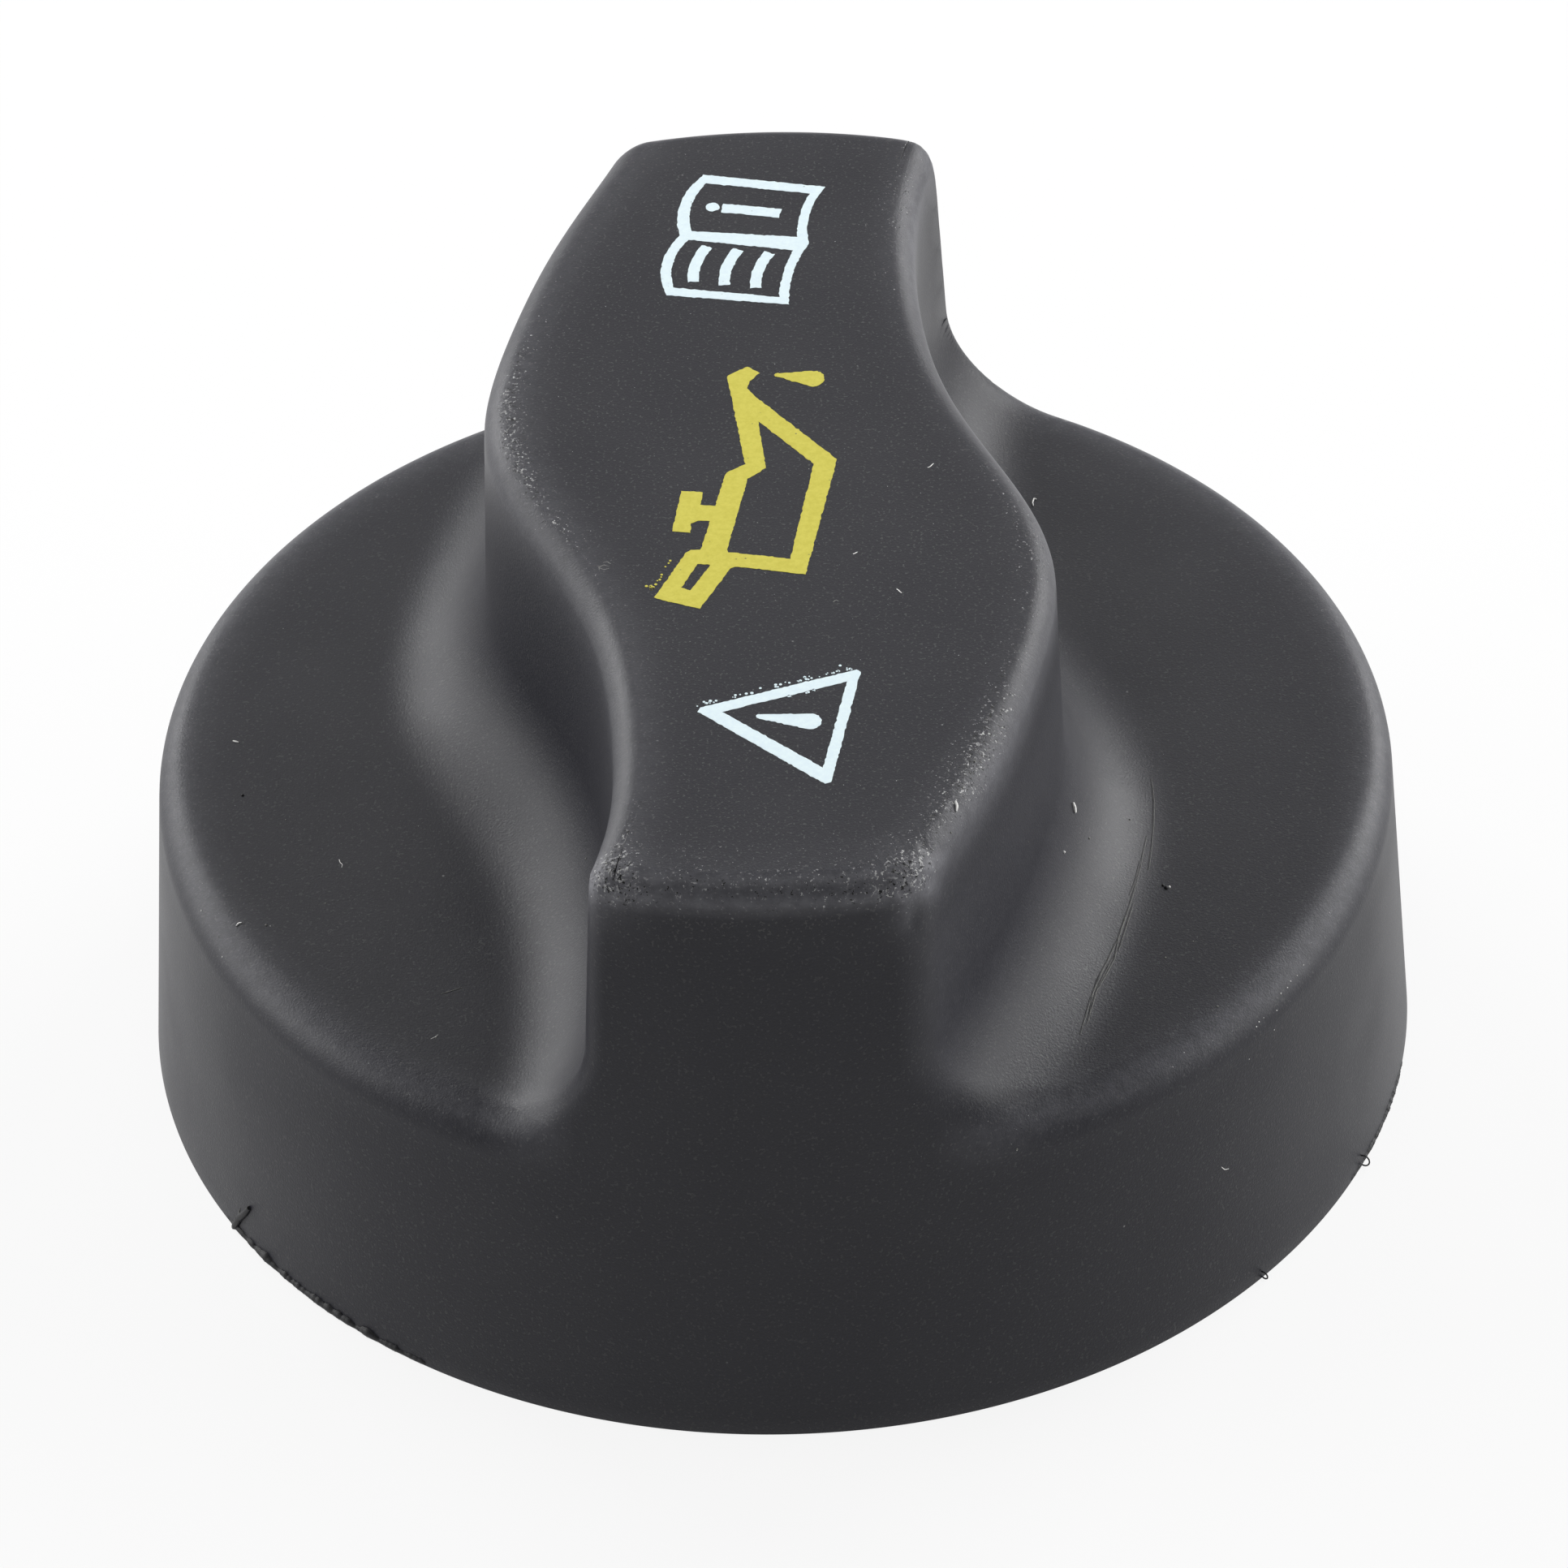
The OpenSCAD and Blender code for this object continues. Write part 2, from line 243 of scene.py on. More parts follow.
def bends(a):
    """Elevations, seen from the sight point, between which the form bends along each column."""
    rim_r = cone_r(SHOULDER_H) - SHOULDER_R
    top_in = np.arctan2(TOP_Z - SIGHT_Z, outline_r(a, CAP_H, -TOP_ROOM * TOP_R))
    out_z = TOP_Z - EDGE_ROOM * TOP_R
    top_out = np.arctan2(out_z - SIGHT_Z, outline_r(a, out_z, 0))
    foot_z = SHOULDER_H + FOOT_ROOM * VALLEY_R
    foot_top = np.arctan2(foot_z - SIGHT_Z, outline_r(a, foot_z, 0))
    foot_out = np.arctan2(SHOULDER_H - SIGHT_Z, np.minimum(foot_r(a, VALLEY_R), rim_r))
    rim_in = np.minimum(np.arctan2(floor_z(rim_r) - SIGHT_Z, rim_r), foot_out - BEND_GAP)
    rim_z = SHOULDER_H - EDGE_ROOM * SHOULDER_R
    rim_out = np.minimum(np.arctan2(rim_z - SIGHT_Z, cone_r(rim_z)), rim_in - BEND_GAP)
    return [top_in, top_out, foot_top, foot_out, rim_in, rim_out]


def ring(a, r, z):
    return np.stack([r * np.cos(a), r * np.sin(a), z + 0 * a], axis=1)


def skin_rows(a):
    """Rows of points of the outer skin from the flat top down to the rim's underside."""
    b = bends(a)
    flat_r = (TOP_Z - SIGHT_Z) / np.tan(b[0])
    rows = [ring(a, flat_r * k / TOP_RINGS, TOP_Z) for k in range(1, TOP_RINGS)]
    for k, n in enumerate(BEND_ROWS):
        rows += [hit(a, e) for e in spread(b[k], b[k + 1], n)]
    low = hit(a, b[-1])
    for t in spread(0, 1, SKIRT_ROWS):
        z = low[:, 2] * (1 - t) + RIM_ROUND * t
        rows.append(ring(a, cone_r(z), z))
    for t in np.linspace(0, math.pi / 2, RIM_ROWS + 1):
        z = RIM_ROUND * (1 - math.sin(t))
        rows.append(ring(a, cone_r(RIM_ROUND) - RIM_ROUND * (1 - math.cos(t)), z))
    return rows


# The photograph's camera, in millimetres, pixels of its 1932 by 1932 frame, and degrees
FRAME_PX = 1932
FOCUS_PX = 14445.6
CAMERA_RISE = math.radians(40.504)
CAMERA_TURN = math.radians(2.64)
CAMERA_ROLL = math.radians(-1.693)
CAMERA_FAR = 610.2
AIM_Z = 15
AXIS_PX = (956.13, 970.95)
SENSOR = 36

# Steps along a camera ray towards the shell, and the share of the open distance that each one takes
RAY_NEAR = 60
RAY_STEPS = 160
RAY_SHARE = 0.7


def camera_axes():
    """The camera's place and its right, up and forward directions."""
    back = np.array([0, -math.cos(CAMERA_RISE), math.sin(CAMERA_RISE)])
    right = np.array([1.0, 0, 0])
    up = np.cross(back, right)
    c, s = math.cos(CAMERA_ROLL), math.sin(CAMERA_ROLL)
    right, up = c * right + s * up, c * up - s * right
    c, s = math.cos(CAMERA_TURN), math.sin(CAMERA_TURN)
    turn = np.array([[c, -s, 0], [s, c, 0], [0, 0, 1]])
    place = turn @ (back * CAMERA_FAR + np.array([0, 0, AIM_Z]))
    return place, turn @ right, turn @ up, turn @ -back


def on_shell(pixels):
    """Points of the shell's outside under pixels of the photograph, and its normals there."""
    start, right, up, forward = camera_axes()
    across, down = (np.array(pixels, float) - AXIS_PX).T / FOCUS_PX
    rays = forward + across[:, None] * right - down[:, None] * up
    rays /= np.linalg.norm(rays, axis=1)[:, None]
    far = np.full(len(rays), CAMERA_FAR - RAY_NEAR)
    for _ in range(RAY_STEPS):
        far += RAY_SHARE * form(*(start + far[:, None] * rays).T)
    points = start + far[:, None] * rays
    return points, normals(points)


def link(obj):
    bpy.context.scene.collection.objects.link(obj)
    return obj


def dress(obj, material):
    obj.data.materials.clear()
    obj.data.materials.append(material)
    return obj


def face_outwards(mesh, weld=None):
    """Faces turned to point outwards, once points closer than the weld distance are joined."""
    bm = bmesh.new()
    bm.from_mesh(mesh)
    if weld:
        bmesh.ops.remove_doubles(bm, verts=bm.verts, dist=weld)
    bmesh.ops.recalc_face_normals(bm, faces=bm.faces)
    bm.to_mesh(mesh)
    bm.free()


def smooth(mesh, angle=35):
    mesh.polygons.foreach_set("use_smooth", [True] * len(mesh.polygons))
    mesh.set_sharp_from_angle(angle=math.radians(angle))


# Material nodes
class Nodes:
    """A short way to write a material's nodes: put() makes one, and takes values or sockets as inputs."""

    def __init__(self, name):
        self.material = bpy.data.materials.new(name)
        self.material.use_nodes = True
        self.tree = self.material.node_tree
        self.tree.nodes.clear()

    def put(self, kind, inputs=None, **settings):
        node = self.tree.nodes.new(kind)
        for key, value in settings.items():
            setattr(node, key, value)
        for key, value in (inputs or {}).items():
            if isinstance(value, bpy.types.NodeSocket):
                self.tree.links.new(value, node.inputs[key])
            else:
                node.inputs[key].default_value = value
        return node

    def place(self):
        """Object coordinates in millimetres."""
        where = self.put("ShaderNodeTexCoord").outputs["Object"]
        return self.put("ShaderNodeVectorMath", {0: where, "Scale": 1 / MM}, operation="SCALE").outputs[0]

    def noise(self, where, scale, detail=2.0, rough=0.5):
        return self.put("ShaderNodeTexNoise", {
            "Vector": where, "Scale": scale, "Detail": detail, "Roughness": rough,
        }).outputs[0]

    def step(self, value, low, high, to_low=0.0, to_high=1.0):
        """Smooth step of a value from low to high."""
        return self.put("ShaderNodeMapRange", {
            "Value": value, "From Min": low, "From Max": high, "To Min": to_low, "To Max": to_high,
        }, interpolation_type="SMOOTHSTEP").outputs[0]

    def math(self, operation, a, b=0.0, c=0.0):
        return self.put("ShaderNodeMath", {0: a, 1: b, 2: c}, operation=operation).outputs[0]

    def mix(self, amount, a, b):
        return self.put("ShaderNodeMix", {0: amount, 6: a, 7: b}, data_type="RGBA").outputs[2]

    def bump(self, height, depth, strength=1.0):
        """Bump of the given depth in millimetres."""
        return self.put("ShaderNodeBump", {
            "Height": height, "Distance": depth * MM, "Strength": strength,
        }).outputs[0]

    def finish(self, **inputs):
        shader = self.put("ShaderNodeBsdfPrincipled", {k.replace("_", " "): v for k, v in inputs.items()})
        self.put("ShaderNodeOutputMaterial", {"Surface": shader.outputs[0]})
        return self.material


def grey(v, blue=1.0):
    return (v, v, v * blue, 1)


# Noises of the shell's look: how many there are in a millimetre, their detail and their roughness
GRAIN = (8.0, 2, 0.7)
MOTTLE = (0.12, 3)
# painted glints: sparse light specks in the colour that stand in for light glinting off the grain
PAINTED_GLINTS = (6.0, 1)
CLOUD = (1.4, 4, 0.7)
FLECKS = (5.6, 2.5, 0.7)
FLECK_FIELDS = (2.2, 1)
CHIPS = (4.3, 2.5, 0.7)

# Where these noises begin and where they are full, and the two values between which that takes them
PAINTED_GLINT_STEP = (0.60, 0.72)
PAINTED_GLINT_BY_SCUFF = (0.1, 0.3, 0.35, 0.65)
CLOUD_STEP = (0.3, 0.7, 0.62, 1)
FLECK_STEP = (0, 0.07)
FIELD_STEP = (0.36, 0.64, 0.15, 1.0)
CHIP_STEP = (0.035, 0.08)
ROUGH_STEP = (0.3, 0.7, 0.40, 0.46)

# Level above which noise makes flecks and chips, by the scuff: a slope and a start
FLECK_LEVEL = (-0.26, 0.78)

# Dust of the shell and pinholes of the ink: specks in a millimetre, their size and their share
DUST = (0.6, 0.05, 0.3)
PINHOLES = (2.2, 0.15, 0.7)

# Colours of the shell: its grain, dark and light, its painted glints, its haze, which is partly painted
# highlight, and the chips, flecks and dust on it. How much the haze roughens it, the depth of its relief,
# and its index of refraction.
GRAIN_DARK = grey(0.0040, 1.9)
GRAIN_LIGHT = grey(0.0125, 1.6)
PAINTED_GLINT_COLOR = grey(0.065)
HAZE_AND_HIGHLIGHT_COLOR = grey(0.16, 1.1)
CHIP_COLOR = grey(0.008)
FLECK_COLOR = grey(0.50)
DUST_COLOR = grey(0.22)
HAZE_ROUGH = 0.06
RELIEF = 0.020
SHELL_IOR = 1.37

# The share of a speck that is its full middle
SPECK_CORE = 0.4


def specks(n, where, scale, size, share):
    """Mask of small round specks, each of its own strength, in a share of the cells of a grid."""
    cells = n.put("ShaderNodeTexVoronoi", {"Vector": where, "Scale": scale}, feature="F1")
    near = n.step(cells.outputs["Distance"], size, SPECK_CORE * size)
    luck = n.put("ShaderNodeSeparateColor", {0: cells.outputs["Color"]}).outputs
    return n.math("MULTIPLY", near, n.math("MULTIPLY", n.step(luck[0], 1 - share, 1), luck[1]))


def shell_look():
    """Satin black plastic with a fine moulded grain and painted glints, hazy and flecked where it is
    worn, with painted highlight in the haze, and dusty.
    """
    n = Nodes("shell_black_plastic")
    p = n.place()
    grain = n.noise(p, *GRAIN)
    mottle = n.noise(p, *MOTTLE)
    haze_and_highlight = n.put("ShaderNodeAttribute", attribute_name="haze_and_highlight").outputs["Fac"]
    scuff = n.put("ShaderNodeAttribute", attribute_name="scuff").outputs["Fac"]
    # painted glints: light specks in the colour where light would glint off the grain, more of them where
    # it is scuffed
    painted_glints = n.step(n.noise(p, *PAINTED_GLINTS), *PAINTED_GLINT_STEP)
    painted_glints = n.math("MULTIPLY", painted_glints, n.step(scuff, *PAINTED_GLINT_BY_SCUFF))
    # the haze in the colour: partly frosted wear, partly painted highlight on the edges, the shoulder and
    # the walls
    haze_and_highlight_cloud = n.math("MULTIPLY", haze_and_highlight, n.step(n.noise(p, *CLOUD), *CLOUD_STEP))
    level = n.math("MULTIPLY_ADD", scuff, *FLECK_LEVEL)
    flecks = n.step(n.math("SUBTRACT", n.noise(p, *FLECKS), level), *FLECK_STEP)
    flecks = n.math("MULTIPLY", flecks, n.step(n.noise(p, *FLECK_FIELDS), *FIELD_STEP))
    chips = n.step(n.math("SUBTRACT", n.noise(p, *CHIPS), level), *CHIP_STEP)
    dust = specks(n, p, *DUST)
    color = n.mix(grain, GRAIN_DARK, GRAIN_LIGHT)
    color = n.mix(painted_glints, color, PAINTED_GLINT_COLOR)
    color = n.mix(haze_and_highlight_cloud, color, HAZE_AND_HIGHLIGHT_COLOR)
    color = n.mix(chips, color, CHIP_COLOR)
    color = n.mix(flecks, color, FLECK_COLOR)
    color = n.mix(dust, color, DUST_COLOR)
    rough = n.math("ADD", n.step(mottle, *ROUGH_STEP), n.math("MULTIPLY", haze_and_highlight_cloud, HAZE_ROUGH))
    relief = n.math("SUBTRACT", n.math("ADD", flecks, n.math("ADD", grain, dust)), chips)
    bump = n.bump(relief, RELIEF)
    return n.finish(Base_Color=color, Roughness=rough, IOR=SHELL_IOR, Normal=bump)


def plug_look():
    n = Nodes("plug_black_plastic")
    p = n.place()
    grain = n.noise(p, 1.6, 4, 0.6)
    flow = n.noise(p, 0.15, 3)
    color = n.mix(grain, grey(0.020), grey(0.034))
    rough = n.step(flow, 0.3, 0.7, 0.34, 0.46)
    return n.finish(Base_Color=color, Roughness=rough, IOR=1.5, Normal=n.bump(grain, 0.015, 0.5))


def gasket_look():
    n = Nodes("gasket_black_rubber")
    p = n.place()
    grain = n.noise(p, 3.0, 4, 0.6)
    bloom = n.noise(p, 0.3, 3)
    color = n.mix(bloom, grey(0.010), grey(0.022))
    rough = n.step(bloom, 0.3, 0.7, 0.55, 0.72)
    return n.finish(Base_Color=color, Roughness=rough, IOR=1.5, Normal=n.bump(grain, 0.03, 0.6))


def ink_look(name, color, pale):
    """Printed ink with a slight grain and a few pinholes."""
    n = Nodes(name)
    p = n.place()
    grain = n.noise(p, 3.5, 4, 0.7)
    fields = n.step(n.noise(p, 0.22, 1), 0.45, 0.6)
    pinholes = n.math("MULTIPLY", specks(n, p, *PINHOLES), fields)
    tint = n.mix(n.step(grain, 0.3, 0.7), color, pale)
    tint = n.mix(n.math("MULTIPLY", pinholes, 0.9), tint, grey(0.04))
    return n.finish(Base_Color=tint, Roughness=0.55, Normal=n.bump(grain, 0.006, 0.5))


def mark_look(name, dark, light, rough):
    """A crumb of something: lint, or a burr of the shell's own plastic."""
    n = Nodes(name)
    p = n.place()
    grain = n.noise(p, 5, 3, 0.6)
    color = n.mix(n.step(grain, 0.3, 0.7), dark, light)
    return n.finish(Base_Color=color, Roughness=rough, Normal=n.bump(grain, 0.01, 0.6))


# Pits where the skin is scuffed more than a share, and dents: each has a pixel of the photograph,
# a reach and a depth
PIT_DEPTH = 0.06
PIT_FROM = 0.35
DENTS = (
    ((1060, 1119), 0.24, 0.12),
    ((1071, 1118), 0.26, 0.14),
    ((1127, 1130), 0.5, 0.22),
    ((1112, 1098), 0.35, 0.08),
    ((744, 1107), 0.35, 0.10),
    ((1139, 1042), 0.3, 0.07),
    ((1179, 992), 0.3, 0.06),
    ((640, 440), 0.3, 0.06),
    ((648, 446), 0.25, 0.05),
    ((1146, 188), 1.1, 0.16),
    ((633, 505), 0.3, 0.05),
    ((862, 1126), 0.3, 0.08),
    ((968, 1122), 0.25, 0.07),
)

# Wear of the grip's top edges along Y, its haze partly painted highlight: an even share, then patches
# with a place, a reach and a strength
LEFT_HAZE_AND_HIGHLIGHT = (0.28, ((5, 9, 0.2),))
RIGHT_HAZE_AND_HIGHLIGHT = (0.2, ((-21, 9, 0.4), (-2, 8, 0.25), (23, 9, 0.45)))
LEFT_FLECKS = (0, ((4, 10, 0.75), (-28, 4, 0.55)))
RIGHT_FLECKS = (0, ((-21, 9, 0.8), (-4, 6, 0.5), (24, 6, 0.45)))

# Other shares of wear, whose haze is partly painted highlight: the grip's front end, its corners, the
# shoulder on either side, the right wall, and the back as a share of the front
END_HAZE_AND_HIGHLIGHT = 0.85
END_FLECKS = 0.6
CORNER_HAZE = 0.5
CORNER_FLECKS = 0.25
LEFT_RIM_HAZE_AND_HIGHLIGHT = 0.38
RIGHT_RIM_HAZE_AND_HIGHLIGHT = 0.42
RIM_FLECKS = 0.5
WALL_HAZE_AND_HIGHLIGHT = 0.11
BACK_WEAR = 0.25

# How far the wear reaches over the edges, the flecks on the flat top and everywhere else, and how
# near the cap's full height a point has to be to count as a part of the top
EDGE_REACH = 1.2
TOP_FLECKS = 0.31
EVEN_FLECKS = 0.14
TOP_NEAR = 0.05

# Bands of wear and painted highlight across an edge, on the wall's side of it below 0 and on the upper
# side above 0: the middle of a band, and how far it fades to either side. The end's haze is even between
# two places.
LEFT_HAZE_AND_HIGHLIGHT_BAND = (0.5, 2.6, 1.7)
RIGHT_HAZE_AND_HIGHLIGHT_BAND = (-0.9, 1.9, 1.9)
LEFT_FLECK_BAND = (1.0, 0.9, 0.9)
RIGHT_FLECK_BAND = (0.4, 1.5, 1.5)
LEFT_RIM_BAND = (0.4, 1.6, 1.6)
RIGHT_RIM_BAND = (0.2, 1.5, 1.5)
END_FLECK_BAND = (0.2, 2.4, 1.3)
END_HAZE_AND_HIGHLIGHT_FROM = (-0.9, 0.6)
END_HAZE_AND_HIGHLIGHT_TO = (0.4, 0.7)

# The worn front corners of the grip: their places across, and how far they reach along and down
CORNERS = (0, ((-7.4, 1.8, 1), (8.6, 2.2, 0.9)))
CORNER_Y = -30.8
CORNER_REACH = 2.2
CORNER_DOWN = 2.5

# How far the haze and painted highlight beside the wall and on it take to fade in; on it, they start as
# far below the top
WALL_FADE = 3


def bell(value, width):
    return np.exp(-(value / width) ** 2)


def patches(along, wear):
    """Strength of wear along an edge."""
    even, places = wear
    return sum((strength * bell(along - place, reach) for place, reach, strength in places), even)


def band(across, middle, before, after):
    return bell(across - middle, np.where(across < middle, before, after))


def wear_at(points):
    """Haze, partly painted highlight, and flecks of the skin, from 0 to 1, along its outside edges and
    most of all the grip's.
    """
    x, y, z = points.T
    r = np.hypot(x, y)
    left = x < 0
    down = CAP_H - z
    from_skirt = -skirt_side(r, z)
    from_wall = -grip_side(x, y, z)
    below_floor = floor_z(r) - z
    end = from_skirt - down
    side = from_wall - down
    rim = from_skirt - below_floor
    by_end = bell(np.minimum(from_skirt, down), EDGE_REACH) * np.where(y < 0, 1, BACK_WEAR)
    by_side = bell(np.minimum(from_wall, down), EDGE_REACH)
    left_rim = LEFT_RIM_HAZE_AND_HIGHLIGHT * band(rim, *LEFT_RIM_BAND)
    right_rim = RIGHT_RIM_HAZE_AND_HIGHLIGHT * band(rim, *RIGHT_RIM_BAND)
    by_rim = np.clip(-from_wall / WALL_FADE, 0, 1) * np.where(left, left_rim, right_rim)
    corners = bell(y - CORNER_Y, CORNER_REACH) * bell(down, CORNER_DOWN) * patches(x, CORNERS)
    left_haze_and_highlight = patches(y, LEFT_HAZE_AND_HIGHLIGHT) * band(side, *LEFT_HAZE_AND_HIGHLIGHT_BAND)
    right_haze_and_highlight = patches(y, RIGHT_HAZE_AND_HIGHLIGHT) * band(side, *RIGHT_HAZE_AND_HIGHLIGHT_BAND)
    # haze: frosted wear, and painted highlight that widens the edges' bright bands and lightens the
    # shoulder and the walls
    haze_and_highlight = END_HAZE_AND_HIGHLIGHT * by_end * bell(np.maximum(end - END_HAZE_AND_HIGHLIGHT_TO[0], 0), END_HAZE_AND_HIGHLIGHT_TO[1])
    haze_and_highlight *= bell(np.maximum(END_HAZE_AND_HIGHLIGHT_FROM[0] - end, 0), END_HAZE_AND_HIGHLIGHT_FROM[1])
    haze_and_highlight += by_side * np.where(left, left_haze_and_highlight, right_haze_and_highlight) + CORNER_HAZE * corners + by_rim
    on_wall = bell(from_wall, 1) * np.clip(down / WALL_FADE - 1, 0, 1)
    on_wall *= np.clip((z - SHOULDER_H) / WALL_FADE, 0, 1)
    haze_and_highlight += WALL_HAZE_AND_HIGHLIGHT * on_wall * np.clip(from_skirt, 0, 1) * ((x > 0) & (y < 0))
    left_flecks = patches(y, LEFT_FLECKS) * band(side, *LEFT_FLECK_BAND)
    right_flecks = patches(y, RIGHT_FLECKS) * band(side, *RIGHT_FLECK_BAND)
    scuff = END_FLECKS * by_end * band(end, *END_FLECK_BAND)
    scuff += by_side * np.where(left, left_flecks, right_flecks)
    even_flecks = np.where(down < TOP_NEAR, TOP_FLECKS, EVEN_FLECKS)
    scuff += CORNER_FLECKS * corners + RIM_FLECKS * by_rim + even_flecks
    return np.clip(haze_and_highlight, 0, 1), np.clip(scuff, 0, 1)


def wear_down(skin, scuff, rng):
    """The skin with small pits where it is scuffed, and its dents."""
    out = normals(skin)
    worn = np.clip(scuff - PIT_FROM, 0, 1) * (skin[:, 2] > SHOULDER_H)
    depth = PIT_DEPTH * rng.random(len(skin)) * worn
    centres, _ = on_shell([pixel for pixel, _, _ in DENTS])
    for centre, (_, reach, dent) in zip(centres, DENTS):
        depth += dent * bell(np.linalg.norm(skin - centre, axis=1), reach)
    return skin - out * depth[:, None]


def zip_rings(outer, inner, points):
    """Triangles between two rings of point numbers round the axis."""
    def sort(numbers):
        turns = [math.atan2(points[i][1], points[i][0]) for i in numbers]
        order = np.argsort(turns)
        return [numbers[k] for k in order], [turns[k] for k in order]
    out, out_a = sort(list(outer))
    inn, inn_a = sort(list(inner))
    out, out_a = out + out[:1], out_a + [out_a[0] + 2 * math.pi]
    inn, inn_a = inn + inn[:1], inn_a + [inn_a[0] + 2 * math.pi]
    faces = []
    i = j = 0
    while i < len(out) - 1 or j < len(inn) - 1:
        if j == len(inn) - 1 or (i < len(out) - 1 and out_a[i + 1] <= inn_a[j + 1]):
            faces.append((out[i], inn[j], out[i + 1]))
            i += 1
        else:
            faces.append((out[i], inn[j], inn[j + 1]))
            j += 1
    return faces


def inner_faces(node):
    """Points and faces of the solid's mesh inside the skirt and the grip, and the ring where they end."""
    bm = bmesh.new()
    bm.from_mesh(node.data)
    bmesh.ops.remove_doubles(bm, verts=bm.verts, dist=SOLID_WELD)
    co = np.array([v.co for v in bm.verts]) / MM
    on_outside = np.abs(form(*co.T)) < SKIN_NEAR
    on_base = co[:, 2] < BASE_NEAR
    on_outside |= on_base & (np.hypot(co[:, 0], co[:, 1]) > CAP_R - RIM_NEAR)
    bm.verts.ensure_lookup_table()
    gone = [
        f for f in bm.faces
        if all(on_outside[v.index] for v in f.verts) or all(on_base[v.index] for v in f.verts)
    ]
    bmesh.ops.delete(bm, geom=gone, context="FACES")
    bm.verts.index_update()
    points = np.array([v.co for v in bm.verts]) / MM
    faces = [tuple(v.index for v in f.verts) for f in bm.faces]
    open_ring = sorted({v.index for e in bm.edges if e.is_boundary for v in e.verts})
    bm.free()
    return points, faces, open_ring


def make_shell():
    """The shell with a fine outer skin, joined at the rim to the inside of its solid."""
    a = column_angles()
    n = len(a)
    rows = skin_rows(a)
    skin = np.concatenate([[[0, 0, TOP_Z]]] + rows)
    faces = [(0, 1 + j, 1 + (j + 1) % n) for j in range(n)]
    for i in range(len(rows) - 1):
        top, low = 1 + i * n, 1 + (i + 1) * n
        faces += [(top + j, low + j, low + (j + 1) % n, top + (j + 1) % n) for j in range(n)]
    haze_and_highlight, scuff = wear_at(skin)
    skin = wear_down(skin, scuff, np.random.default_rng(SEED))
    inside, inside_faces, open_ring = inner_faces(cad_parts["cap_shell"])
    first = len(skin)
    points = np.concatenate([skin, inside])
    faces += [tuple(first + i for i in f) for f in inside_faces]
    faces += zip_rings(range(first - n, first), [first + i for i in open_ring], points)
    mesh = bpy.data.meshes.new("shell_skin")
    mesh.from_pydata((points * MM).tolist(), [], faces)
    # the haze, partly painted highlight, and the scuff go to the material as attributes
    for name, values in (("haze_and_highlight", haze_and_highlight), ("scuff", scuff)):
        worn = np.zeros(len(points), np.float32)
        worn[:first] = values
        mesh.attributes.new(name, "FLOAT", "POINT").data.foreach_set("value", worn)
    face_outwards(mesh)
    smooth(mesh)
    shell = dress(link(bpy.data.objects.new("shell_skin", mesh)), shell_look())
    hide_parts("cap_shell")
    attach(shell, "root")
    return shell


# Printed signs on the flat top, in a frame turned with them round the axis
SIGN_TURN = math.radians(-9.3)
INK_SINK = 0.005
RAGGED = 0.018
EDGE_STEP = 0.16
DROPLET_GAP = 0.08
DROPLET_SIZES = (0.03, 0.09)
DROPLET_SIDES = 8

# Stray droplets beside an edge of a sign: the edge's two ends, their reach and their count
CAN_SPATTER = ((-4.2, -9.0), (-3.3, -6.2), 0.22, 14)
TRIANGLE_SPATTERS = (
    ((-0.4, -17.6), (7.0, -13.35), 0.16, 46),
    ((4.1, -16.1), (6.2, -14.9), 0.1, 6),
)

# Ink, as printed and where it is paler
INK_WHITE = (0.72, 0.85, 0.91, 1)
INK_WHITE_PALE = (0.78, 0.91, 0.94, 1)
INK_YELLOW = (0.57, 0.51, 0.045, 1)
INK_YELLOW_PALE = (0.64, 0.58, 0.07, 1)


def bow(start, end, rise, n=10):
    """Points of a flat arc from start to end, without the end, which rises to the left by rise."""
    start, end = np.array(start, float), np.array(end, float)
    along = end - start
    left = np.array([-along[1], along[0]]) / np.linalg.norm(along)
    return [tuple(start + along * t + left * rise * 4 * t * (1 - t)) for t in np.arange(n) / n]


def disc(centre, r, n=14):
    turns = [2 * math.pi * k / n for k in range(n)]
    return [(centre[0] + r * math.cos(t), centre[1] + r * math.sin(t)) for t in turns]


def drop_outline(tip, centre, r, tip_r=0.16, n=16):
    """A drop: a round end and a rounded tip, joined by tangents."""
    along = np.array(centre, float) - np.array(tip, float)
    turn = math.atan2(along[1], along[0])
    side = math.acos((tip_r - r) / np.linalg.norm(along))
    round_end = [turn - (math.pi - side) + 2 * (math.pi - side) * k / n for k in range(n + 1)]
    point_end = [turn + (math.pi - side) + 2 * side * k / n for k in range(n + 1)]
    return ([(centre[0] + r * math.cos(t), centre[1] + r * math.sin(t)) for t in round_end]
            + [(tip[0] + tip_r * math.cos(t), tip[1] + tip_r * math.sin(t)) for t in point_end])


def stroke(line, width):
    """Outline of a stroke of one width along a line of points."""
    line = np.array(line, float)
    along = np.gradient(line, axis=0)
    left = np.stack([-along[:, 1], along[:, 0]], axis=1)
    left /= np.linalg.norm(left, axis=1)[:, None]
    left_side = line + left * width / 2
    right_side = line - left * width / 2
    return [tuple(p) for p in left_side] + [tuple(p) for p in right_side[::-1]]


def ragged(outline_points, rng):
    """The outline cut into short steps whose points stray a little, as the edge of printed ink does."""
    loop = np.array(outline_points, float)
    made = []
    for a, b in zip(loop, np.roll(loop, -1, axis=0)):
        steps = max(1, round(np.linalg.norm(b - a) / EDGE_STEP))
        made += [a + (b - a) * k / steps for k in range(steps)]
    return np.array(made) + rng.normal(0, RAGGED, (len(made), 2))


